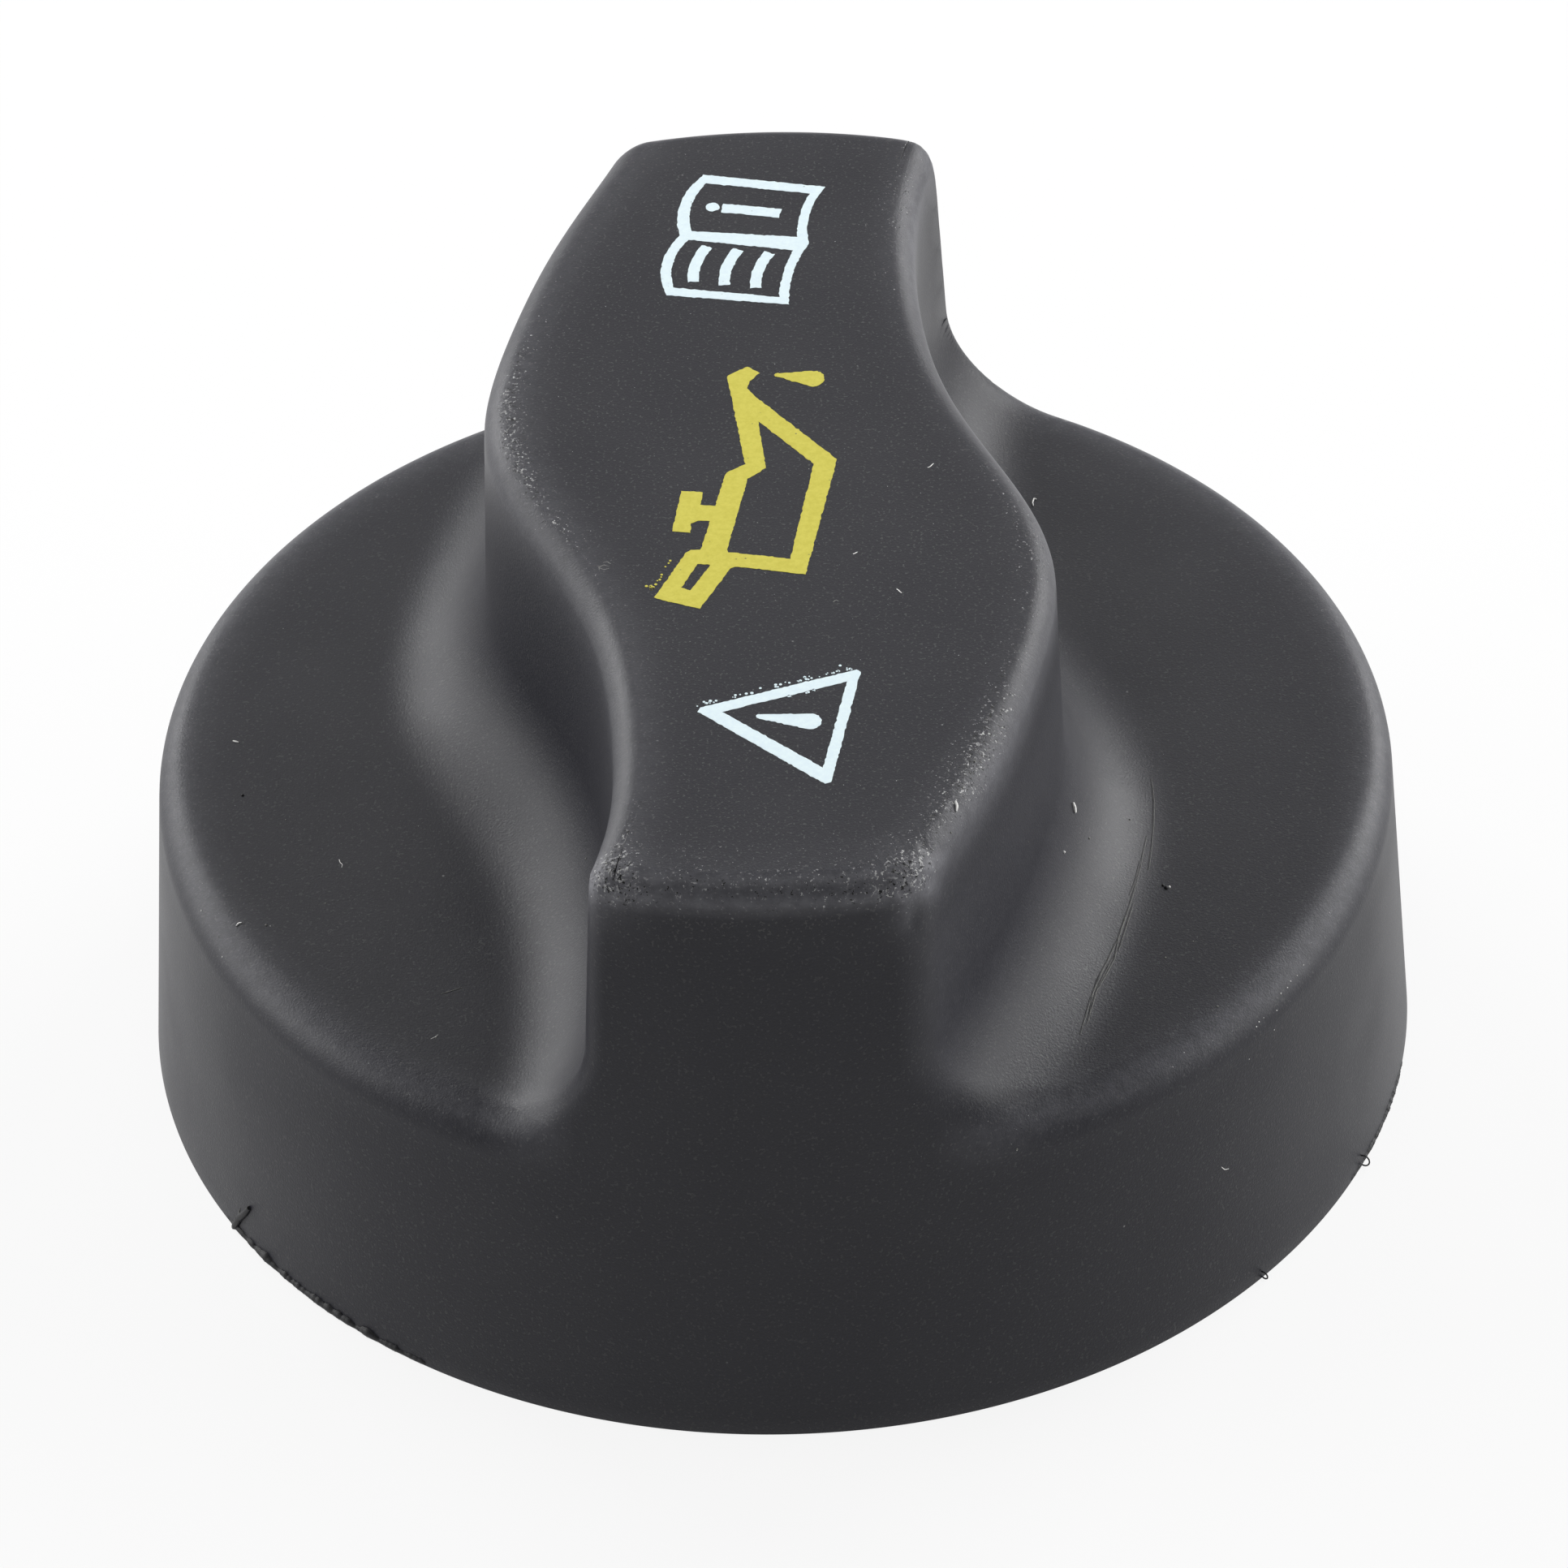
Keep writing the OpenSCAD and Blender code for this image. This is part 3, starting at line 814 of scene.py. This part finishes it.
def print_sign(name, outlines, dots, look, rng):
    """A thin slab of ink on the flat top: outer outlines and holes with ragged edges, and stray dots."""
    curve = bpy.data.curves.new(name, "CURVE")
    curve.dimensions = "2D"
    curve.fill_mode = "BOTH"
    curve.extrude = (INK + INK_SINK) / 2
    for loop in [ragged(points, rng) for points in outlines] + dots:
        spline = curve.splines.new("POLY")
        spline.points.add(len(loop) - 1)
        spline.points.foreach_set("co", np.c_[loop, np.zeros(len(loop)), np.ones(len(loop))].ravel())
        spline.use_cyclic_u = True
    obj = link(bpy.data.objects.new(name, curve))
    mesh = bpy.data.meshes.new_from_object(obj.evaluated_get(bpy.context.evaluated_depsgraph_get()))
    bpy.data.objects.remove(obj)
    lift = Matrix.Translation((0, 0, CAP_H - (INK + INK_SINK) / 2))
    mesh.transform(Matrix.Scale(MM, 4) @ lift @ Matrix.Rotation(SIGN_TURN, 4, "Z"))
    face_outwards(mesh, weld=INK_WELD)
    sign = dress(link(bpy.data.objects.new(name, mesh)), look)
    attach(sign, "root")
    return sign


def spatter(rng, a, b, reach, count):
    """Stray droplets of ink beside the edge from a to b, to its left."""
    a, b = np.array(a, float), np.array(b, float)
    along = b - a
    left = np.array([-along[1], along[0]]) / np.linalg.norm(along)

    def place():
        return a + along * rng.uniform() + left * (DROPLET_GAP + abs(rng.normal(0, reach)))
    places = [place() for _ in range(count)]
    return [np.array(disc(p, rng.uniform(*DROPLET_SIZES), DROPLET_SIDES)) for p in places]


def book_outlines():
    """An open book on its side: a page with a line and a dot, and a page with three strokes."""
    cover = [(-8.3, 25.3)]
    cover += bow((-1.75, 25.3), (-1.7, 20.4), -0.4)
    cover += bow((-1.7, 20.4), (-1.6, 14.6), -0.4)
    cover += bow((-8.2, 14.9), (-8.5, 20), 0.6)
    cover += bow((-8.5, 20), (-8.3, 25.3), 0.6)[:-1]
    upper = bow((-2.45, 24.6), (-2.3, 20.45), -0.24)
    upper += bow((-7.95, 20.45), (-8.0, 24.6), 0.42) + [(-8.0, 24.6)]
    lower = bow((-2.4, 19.7), (-2.3, 15.25), -0.2)
    lower += bow((-7.95, 15.6), (-8.0, 19.7), 0.42) + [(-8.0, 19.7)]
    pitch = 1.66
    lines = [bow((-6.9 + pitch * k, 19.3), (-6.95 + pitch * k, 15.9), -0.28) for k in range(3)]
    line = stroke([(-6.75, 22.65), (-5.2, 22.67), (-3.65, 22.68)], 0.74)
    dot = disc((-7.28, 22.65), 0.37)
    return [cover, upper, lower, line, dot] + [stroke(points, 0.6) for points in lines]


def can_outlines():
    """An oil can with its spout, filler and handle, and a drop at the spout."""
    spout = [(-3.8, 8.8), (-2.9, 9.75), (-2.2, 9.3), (-2.6, 8.55), (-2.55, 8.0), (-2.25, 7.55)]
    front = [(3.05, 3.0)]
    foot = [(3.2, -6.35), (-0.45, -6.3), (-0.65, -6.5)]
    grip = [(-1.55, -9.9), (-4.0, -9.4), (-3.1, -5.6), (-2.9, -5.35), (-2.4, -5.3)]
    neck = [(-2.4, -2.95), (-3.0, -3.0), (-3.3, -3.3), (-3.2, -4.05), (-4.15, -4.05)]
    lid = [(-4.3, -0.8), (-3.2, -0.75), (-3.15, -1.75), (-2.35, -1.7)]
    shoulder = [(-2.35, 0.4), (-2.3, 1.05), (-1.5, 1.85)]
    inside = [(-1.5, 5.4), (1.95, 2.45), (2.2, -5.25), (-1.0, -5.25), (-1.1, -5.0), (-1.15, 0.7)]
    inside += [(-0.4, 1.7)]
    grip_hole = [(-2.35, -6.4), (-1.7, -6.4), (-2.3, -8.5), (-2.8, -8.4)]
    drop = drop_outline((-1.25, 9.3), (0.5, 9.3), 0.7)
    return [spout + front + foot + grip + neck + lid + shoulder, inside, grip_hole, drop]


def triangle_outlines():
    """A plain outlined triangle with a drop in it."""
    outer = [(-0.1, -17.8), (-0.05, -17.45), (7.1, -13.3), (7.35, -13.45), (7.45, -22.0), (7.2, -22.2)]
    inner = [(1.1, -17.6), (6.8, -14.3), (6.85, -21.0)]
    return [outer, inner, drop_outline((3.0, -17.65), (5.5, -17.62), 0.62)]


def make_signs():
    rng = np.random.default_rng(SEED)
    white = ink_look("ink_white", INK_WHITE, INK_WHITE_PALE)
    yellow = ink_look("ink_yellow", INK_YELLOW, INK_YELLOW_PALE)
    print_sign("sign_book", book_outlines(), [], white, rng)
    stray = spatter(rng, *CAN_SPATTER)
    print_sign("sign_oil_can", can_outlines(), stray, yellow, rng)
    stray = [dot for spatters in TRIANGLE_SPATTERS for dot in spatter(rng, *spatters)]
    print_sign("sign_triangle", triangle_outlines(), stray, white, rng)


# Lint and fibres along lines of pixels of the photograph, and their radii
LINT_R = 0.05
CURL_R = 0.03
SMALL_CURL_R = 0.021
FAINT_R = 0.02
HOOK_R = 0.04
DASH_R = 0.09
TICK_R = 0.063
FORKED_FIBRE = ((1140, 577), (1146, 575), (1150, 571), (1153, 573))
WISP = ((1102, 725), (1106, 726), (1110, 730), (1114, 731))
CURL = ((751, 700), (744, 702), (737, 699), (744, 696), (751, 698))
CURL_ARC = ((743, 693), (748, 692), (753, 695))
THREAD = ((1049, 683), (1053, 682), (1058, 679))
DASH = ((1321, 989), (1323, 996), (1324, 1002))
SHORT_DASH = ((287, 913), (290, 914), (294, 915))
TICK = ((1177, 987), (1179, 993), (1178, 1000))
WHISKER = ((291, 1141), (294, 1138), (298, 1137))
RIM_HAIR = ((296, 1489), (294, 1496), (298, 1499), (303, 1494), (304, 1488))
HOOK = ((1273, 624), (1272, 620), (1274, 615), (1277, 616))
FLOOR_CURL = ((1026, 742), (1030, 739), (1034, 741))
POCKET_CURL = ((418, 1059), (419, 1063), (422, 1065), (421, 1069))
POCKET_LINE = ((543, 1225), (556, 1221), (569, 1217))
POCKET_HOOK = ((531, 1280), (536, 1278), (540, 1275))
SKIRT_CURL = ((1505, 1438), (1509, 1441), (1514, 1440))

# Crumbs of dust and of the shell's plastic at pixels of the photograph, and the range of their radii
CRUMB_SIZES = (0.04, 0.075)
CRUMBS = (
    (739, 382), (660, 552), (797, 670), (1118, 731), (1126, 718), (1128, 726), (1157, 745),
    (1024, 633), (864, 644), (928, 665), (1224, 607), (1178, 583), (1131, 554), (1111, 530),
    (1245, 630), (1297, 1027), (1342, 1033), (1416, 1123), (1215, 886), (1201, 938), (1172, 1026),
    (1172, 1043), (1138, 1041), (328, 1140), (269, 1154), (406, 1172), (1253, 1416), (1127, 960),
    (1267, 1038), (1284, 1137), (1222, 976), (722, 1058), (401, 1113), (1641, 1199), (1470, 1160),
    (1500, 1240), (1392, 1010), (1436, 1180), (352, 1010),
)
PALE_CRUMB_SIZES = (0.06, 0.11)
PALE_CRUMBS = ((1441, 1093), (1311, 1050), (1203, 886), (1250, 739), (1253, 749), (1085, 734))
SMALL_PALE_CRUMB_SIZES = (0.035, 0.06)
SMALL_PALE_CRUMBS = (
    (1606, 1189), (1598, 1202), (1590, 1209), (1578, 1224), (1586, 1217), (1573, 1245), (1557, 1254),
    (1548, 1265), (1551, 1259), (1539, 1305), (1570, 1269), (1253, 1417), (274, 1179), (248, 1122),
    (537, 1278), (333, 1141),
)
DARK_CRUMB_SIZES = (0.10, 0.15)
DARK_CRUMBS = ((299, 980), (1433, 1091), (1437, 1094))

# Scratches on the right pocket's slope, each with a pale edge some pixels to its right
SCRATCH_R = 0.022
SCRATCH_EDGE = 1.6
SCRATCH_EDGE_R = 0.6 * SCRATCH_R
SCRATCHES = (
    ((1418, 960), (1421, 990), (1420, 1020), (1418, 1045), (1414, 1072)),
    (
        (1412, 1030), (1402, 1078), (1391, 1115), (1378, 1153), (1363, 1185), (1352, 1205),
        (1346, 1222), (1340, 1258),
    ),
    ((1385, 1130), (1378, 1153), (1372, 1182), (1358, 1208), (1348, 1225)),
    ((1396, 1112), (1384, 1150), (1377, 1172)),
    ((1370, 1180), (1352, 1215), (1338, 1262)),
    ((1360, 1190), (1343, 1230), (1330, 1275)),
    ((1404, 1060), (1398, 1085), (1391, 1103)),
)

# Flash along the rim: two azimuths and a height. Loops of loose hair: an azimuth, a width and a height
FLASHES = (
    (math.radians(-149.5), math.radians(-122), 0.30),
    (math.radians(-25), math.radians(-8), 0.16),
)
FLASH_STEPS = 150
FLASH_BLUR = 5
FLASH_LEAST = 0.12
FLASH_INSET = 0.13
FLASH_SIDES = 8
RIM_BURR = ((289, 1519), (291, 1509), (296, 1500), (303, 1494), (308, 1488))
BURR_R = 0.2
HAIR_R = 0.045
RIM_LOOPS = ((math.radians(-22.5), 0.30, 0.34), (math.radians(-40), 0.22, 0.20))
LOOP_TURN = 2.4
LOOP_STEPS = 18
LOOP_OUT = 0.1
FLOOR_CLEARANCE = 0.002

# Fibres: the step along them in pixels, where their tips begin, and the share of their radius by
# which they stand off the shell
PIXEL_STEP = 1.5
FIBRE_TIP = 0.35
FIBRE_LIFT = 0.3
SCRATCH_LIFT = 0.5
DASH_LIFT = 0.6
HOOK_LIFT = 1.5

# Crumbs: the range of their stretch and of their bumps
CRUMB_STRETCH = (0.7, 1.0)
CRUMB_BUMPS = (0.85, 1.0)

# Edges of marks sharper than this stay sharp, in degrees
MARK_CREASE = 60

# Colours of lint, dust and burrs, dark and light, and their roughness
LINT_COLORS = ((0.80, 0.79, 0.77, 1), (0.92, 0.91, 0.89, 1))
DULL_COLORS = ((0.16, 0.16, 0.15, 1), (0.26, 0.26, 0.24, 1))
BURR_COLORS = (grey(0.003), grey(0.008, 1.5))
LINT_ROUGH = 0.8
BURR_ROUGH = 0.6


def resample(line, step):
    """Points a step apart along a line."""
    line = np.array(line, float)
    run = np.concatenate([[0], np.cumsum(np.linalg.norm(np.diff(line, axis=0), axis=1))])
    at = np.linspace(0, run[-1], max(3, round(run[-1] / step)))
    return np.stack([np.interp(at, run, axis) for axis in line.T], axis=1)


def tube(line, out, radii, sides=6):
    """Points and faces of a closed tube along a line; out points away from what the tube lies on."""
    along = np.gradient(line, axis=0)
    side = np.cross(along, out)
    side /= np.linalg.norm(side, axis=1)[:, None]
    up = np.cross(side, along)
    up /= np.linalg.norm(up, axis=1)[:, None]
    radii = np.broadcast_to(radii, len(line))[:, None]
    turns = [2 * math.pi * k / sides for k in range(sides)]
    rings = [line + radii * (math.cos(t) * side + math.sin(t) * up) for t in turns]
    points = np.stack(rings, axis=1).reshape(-1, 3)
    faces = [tuple(range(sides))[::-1], tuple(range(len(points) - sides, len(points)))]
    for i in range(0, len(points) - sides, sides):
        for k in range(sides):
            turn = (k + 1) % sides
            faces.append((i + k, i + turn, i + sides + turn, i + sides + k))
    return points, faces


def inside_height(points, r):
    """Points moved up or down where a radius about them would pass the foot or the top of the cap."""
    moved = points.copy()
    moved[:, 2] = np.clip(moved[:, 2], r + FLOOR_CLEARANCE, CAP_H - r - FLOOR_CLEARANCE)
    return moved


def fibre(pixels, r, lift=FIBRE_LIFT):
    """A tube with thin ends that lies on the shell along a line of pixels."""
    points, out = on_shell(resample(pixels, PIXEL_STEP))
    thin = np.sin(np.linspace(FIBRE_TIP, math.pi - FIBRE_TIP, len(points))) ** 0.5
    return tube(inside_height(points + out * r * lift, r), out, r * thin)


def crumb(centre, r, rng):
    bm = bmesh.new()
    bmesh.ops.create_icosphere(bm, subdivisions=2, radius=r)
    points = np.array([v.co for v in bm.verts])
    faces = [tuple(v.index for v in f.verts) for f in bm.faces]
    bm.free()
    stretch = rng.uniform(*CRUMB_STRETCH, 3)
    return centre + points * stretch * rng.uniform(*CRUMB_BUMPS, (len(points), 1)), faces


def crumbs(pixels, sizes, rng):
    places, _ = on_shell(pixels)
    radii = rng.uniform(*sizes, len(places))
    return [crumb(place, r, rng) for place, r in zip(inside_height(places, radii), radii)]


def heap(name, parts, look):
    """One piece made of several small closed meshes."""
    points, faces = [], []
    for part_points, part_faces in parts:
        faces += [tuple(len(points) + i for i in f) for f in part_faces]
        points += (part_points * MM).tolist()
    mesh = bpy.data.meshes.new(name)
    mesh.from_pydata(points, [], faces)
    face_outwards(mesh)
    smooth(mesh, MARK_CREASE)
    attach(dress(link(bpy.data.objects.new(name, mesh)), look), "root")


def flash_part(start, end, height, rng):
    """The ragged ridge of flash along a stretch of the rim."""
    a = np.linspace(start, end, FLASH_STEPS)
    blur = np.ones(FLASH_BLUR) / FLASH_BLUR
    ragged_r = np.convolve(rng.random(FLASH_STEPS + FLASH_BLUR - 1), blur, "valid")
    fade = np.sin(np.linspace(0, math.pi, FLASH_STEPS)) ** 0.3
    radii = FLASH_LEAST + height * ragged_r * fade
    line = ring(a, CAP_R - FLASH_INSET, radii + FLOOR_CLEARANCE)
    return tube(line, ring(a, 1, 0), radii, FLASH_SIDES)


def loop_part(a, wide, high):
    """A loop of plastic hair that stands out of the rim at azimuth a."""
    t = np.linspace(-LOOP_TURN, LOOP_TURN, LOOP_STEPS)
    r = CAP_R + LOOP_OUT + wide * np.cos(t)
    line = np.stack([r * math.cos(a), r * math.sin(a), high + HAIR_R + high * np.sin(t)], axis=1)
    sideways = np.tile([-math.sin(a), math.cos(a), 0], (len(t), 1))
    return tube(line, sideways, HAIR_R)


def fibres(lines, r, lift=FIBRE_LIFT):
    return [fibre(line, r, lift) for line in lines]


def make_marks():
    rng = np.random.default_rng(SEED)
    pale = mark_look("lint_pale", *LINT_COLORS, LINT_ROUGH)
    dull = mark_look("lint_dull", *DULL_COLORS, LINT_ROUGH)
    dark = mark_look("burr_black_plastic", *BURR_COLORS, BURR_ROUGH)

    lint = fibres((FORKED_FIBRE, WISP, THREAD, WHISKER, SHORT_DASH), LINT_R)
    lint += fibres((POCKET_CURL, POCKET_HOOK, SKIRT_CURL), SMALL_CURL_R)
    lint += [fibre(DASH, DASH_R, DASH_LIFT), fibre(TICK, TICK_R, DASH_LIFT)]
    lint += [fibre(HOOK, HOOK_R, HOOK_LIFT)]
    lint += crumbs(PALE_CRUMBS, PALE_CRUMB_SIZES, rng)
    lint += crumbs(SMALL_PALE_CRUMBS, SMALL_PALE_CRUMB_SIZES, rng)
    heap("lint", lint, pale)

    scratch_edges = [[(x + SCRATCH_EDGE, y) for x, y in line] for line in SCRATCHES]
    dust = fibres((CURL, CURL_ARC, FLOOR_CURL, RIM_HAIR), CURL_R)
    dust += fibres((POCKET_LINE,), FAINT_R)
    dust += fibres(scratch_edges, SCRATCH_EDGE_R, SCRATCH_LIFT)
    dust += crumbs(CRUMBS, CRUMB_SIZES, rng)
    heap("dust", dust, dull)

    burrs = fibres(SCRATCHES, SCRATCH_R, SCRATCH_LIFT)
    burrs += [loop_part(*loop) for loop in RIM_LOOPS]
    burrs += [flash_part(*flash, rng) for flash in FLASHES]
    burrs += fibres((RIM_BURR,), BURR_R)
    burrs += crumbs(DARK_CRUMBS, DARK_CRUMB_SIZES, rng)
    heap("burrs", burrs, dark)


# Camera
def make_camera():
    place, right, up, forward = camera_axes()
    data = bpy.data.cameras.new("photo_camera")
    data.sensor_width = SENSOR
    data.lens = FOCUS_PX / FRAME_PX * SENSOR
    data.shift_x = (FRAME_PX / 2 - AXIS_PX[0]) / FRAME_PX
    data.shift_y = (AXIS_PX[1] - FRAME_PX / 2) / FRAME_PX
    data.clip_start = 0.01
    camera = link(bpy.data.objects.new("photo_camera", data))
    camera.matrix_world = Matrix((
        (right[0], up[0], -forward[0], place[0] * MM),
        (right[1], up[1], -forward[1], place[1] * MM),
        (right[2], up[2], -forward[2], place[2] * MM),
        (0, 0, 0, 1),
    ))
    bpy.context.scene.camera = camera


# Floor and light, in metres and watts
FLOOR_REACH = 3.0
FLOOR_GAP = 0.00002
FLOOR_GLOW = 0.87
FLOOR_COLOR = (0.9, 0.9, 0.9, 1)
WORLD_LIGHT = 0.08
LAMP_AIM = Vector((0, 0, 0.015))

# Lamps in pairs, with a name, the right one's place, its size, and the powers of the left and the
# right one; and single lamps, with a name, a place, a size and a power
PAIRED_LAMPS = (
    ("low", (0.87, 0.80, 0.27), 0.75, (5.4, 6.6)),
    ("high", (0.7, 0.8, 0.6), 0.6, (5.5, 6.6)),
    ("beside", (1.1, 0.1, 0.35), 0.7, (7.1, 6.2)),
)
SIDES = (("left", -1), ("right", 1))
SINGLE_LAMPS = (
    ("back", (0, 1.0, 0.8), 0.6, 2.4),
    ("top", (0, -0.3, 1.1), 0.4, 1.2),
)


def make_floor():
    """A pale floor that the camera sees white, with the object's shadow."""
    n = Nodes("floor_pale")
    path = n.put("ShaderNodeLightPath").outputs
    mirrored = n.math("MAXIMUM", path["Is Glossy Ray"], path["Is Transmission Ray"])
    seen = n.math("MAXIMUM", path["Is Camera Ray"], mirrored)
    white = n.put("ShaderNodeEmission", {"Color": (1, 1, 1, 1), "Strength": 1.0}).outputs[0]
    plain = n.put("ShaderNodeBsdfDiffuse", {"Color": FLOOR_COLOR}).outputs[0]
    share = n.math("MULTIPLY", seen, FLOOR_GLOW)
    shader = n.put("ShaderNodeMixShader", {0: share, 1: plain, 2: white})
    n.put("ShaderNodeOutputMaterial", {"Surface": shader.outputs[0]})
    mesh = bpy.data.meshes.new("floor")
    ends = ((-1, -1), (1, -1), (1, 1), (-1, 1))
    corners = [(FLOOR_REACH * x, FLOOR_REACH * y, -FLOOR_GAP) for x, y in ends]
    mesh.from_pydata(corners, [], [(0, 1, 2, 3)])
    mesh.materials.append(n.material)
    floor = link(bpy.data.objects.new("floor", mesh))


def make_lamp(name, place, size, power):
    """A square soft lamp that faces the object."""
    data = bpy.data.lights.new(name, "AREA")
    data.shape = "SQUARE"
    data.size = size
    data.energy = power
    lamp = link(bpy.data.objects.new(name, data))
    lamp.location = place
    lamp.rotation_mode = "QUATERNION"
    lamp.rotation_quaternion = (LAMP_AIM - Vector(place)).to_track_quat("-Z", "Y")


def make_light():
    world = bpy.data.worlds.new("studio")
    bpy.context.scene.world = world
    world.use_nodes = True
    world.node_tree.nodes["Background"].inputs["Color"].default_value = (1, 1, 1, 1)
    world.node_tree.nodes["Background"].inputs["Strength"].default_value = WORLD_LIGHT
    for k, (side, turn) in enumerate(SIDES):
        for name, (x, y, z), size, powers in PAIRED_LAMPS:
            make_lamp(f"lamp_{name}_{side}", (turn * x, y, z), size, powers[k])
    for name, place, size, power in SINGLE_LAMPS:
        make_lamp("lamp_" + name, place, size, power)


make_shell()
make_signs()
make_marks()
dress(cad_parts["bayonet_plug"], plug_look())
dress(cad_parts["sealing_gasket"], gasket_look())
make_camera()
make_floor()
make_light()
bpy.context.scene.view_settings.view_transform = "Standard"
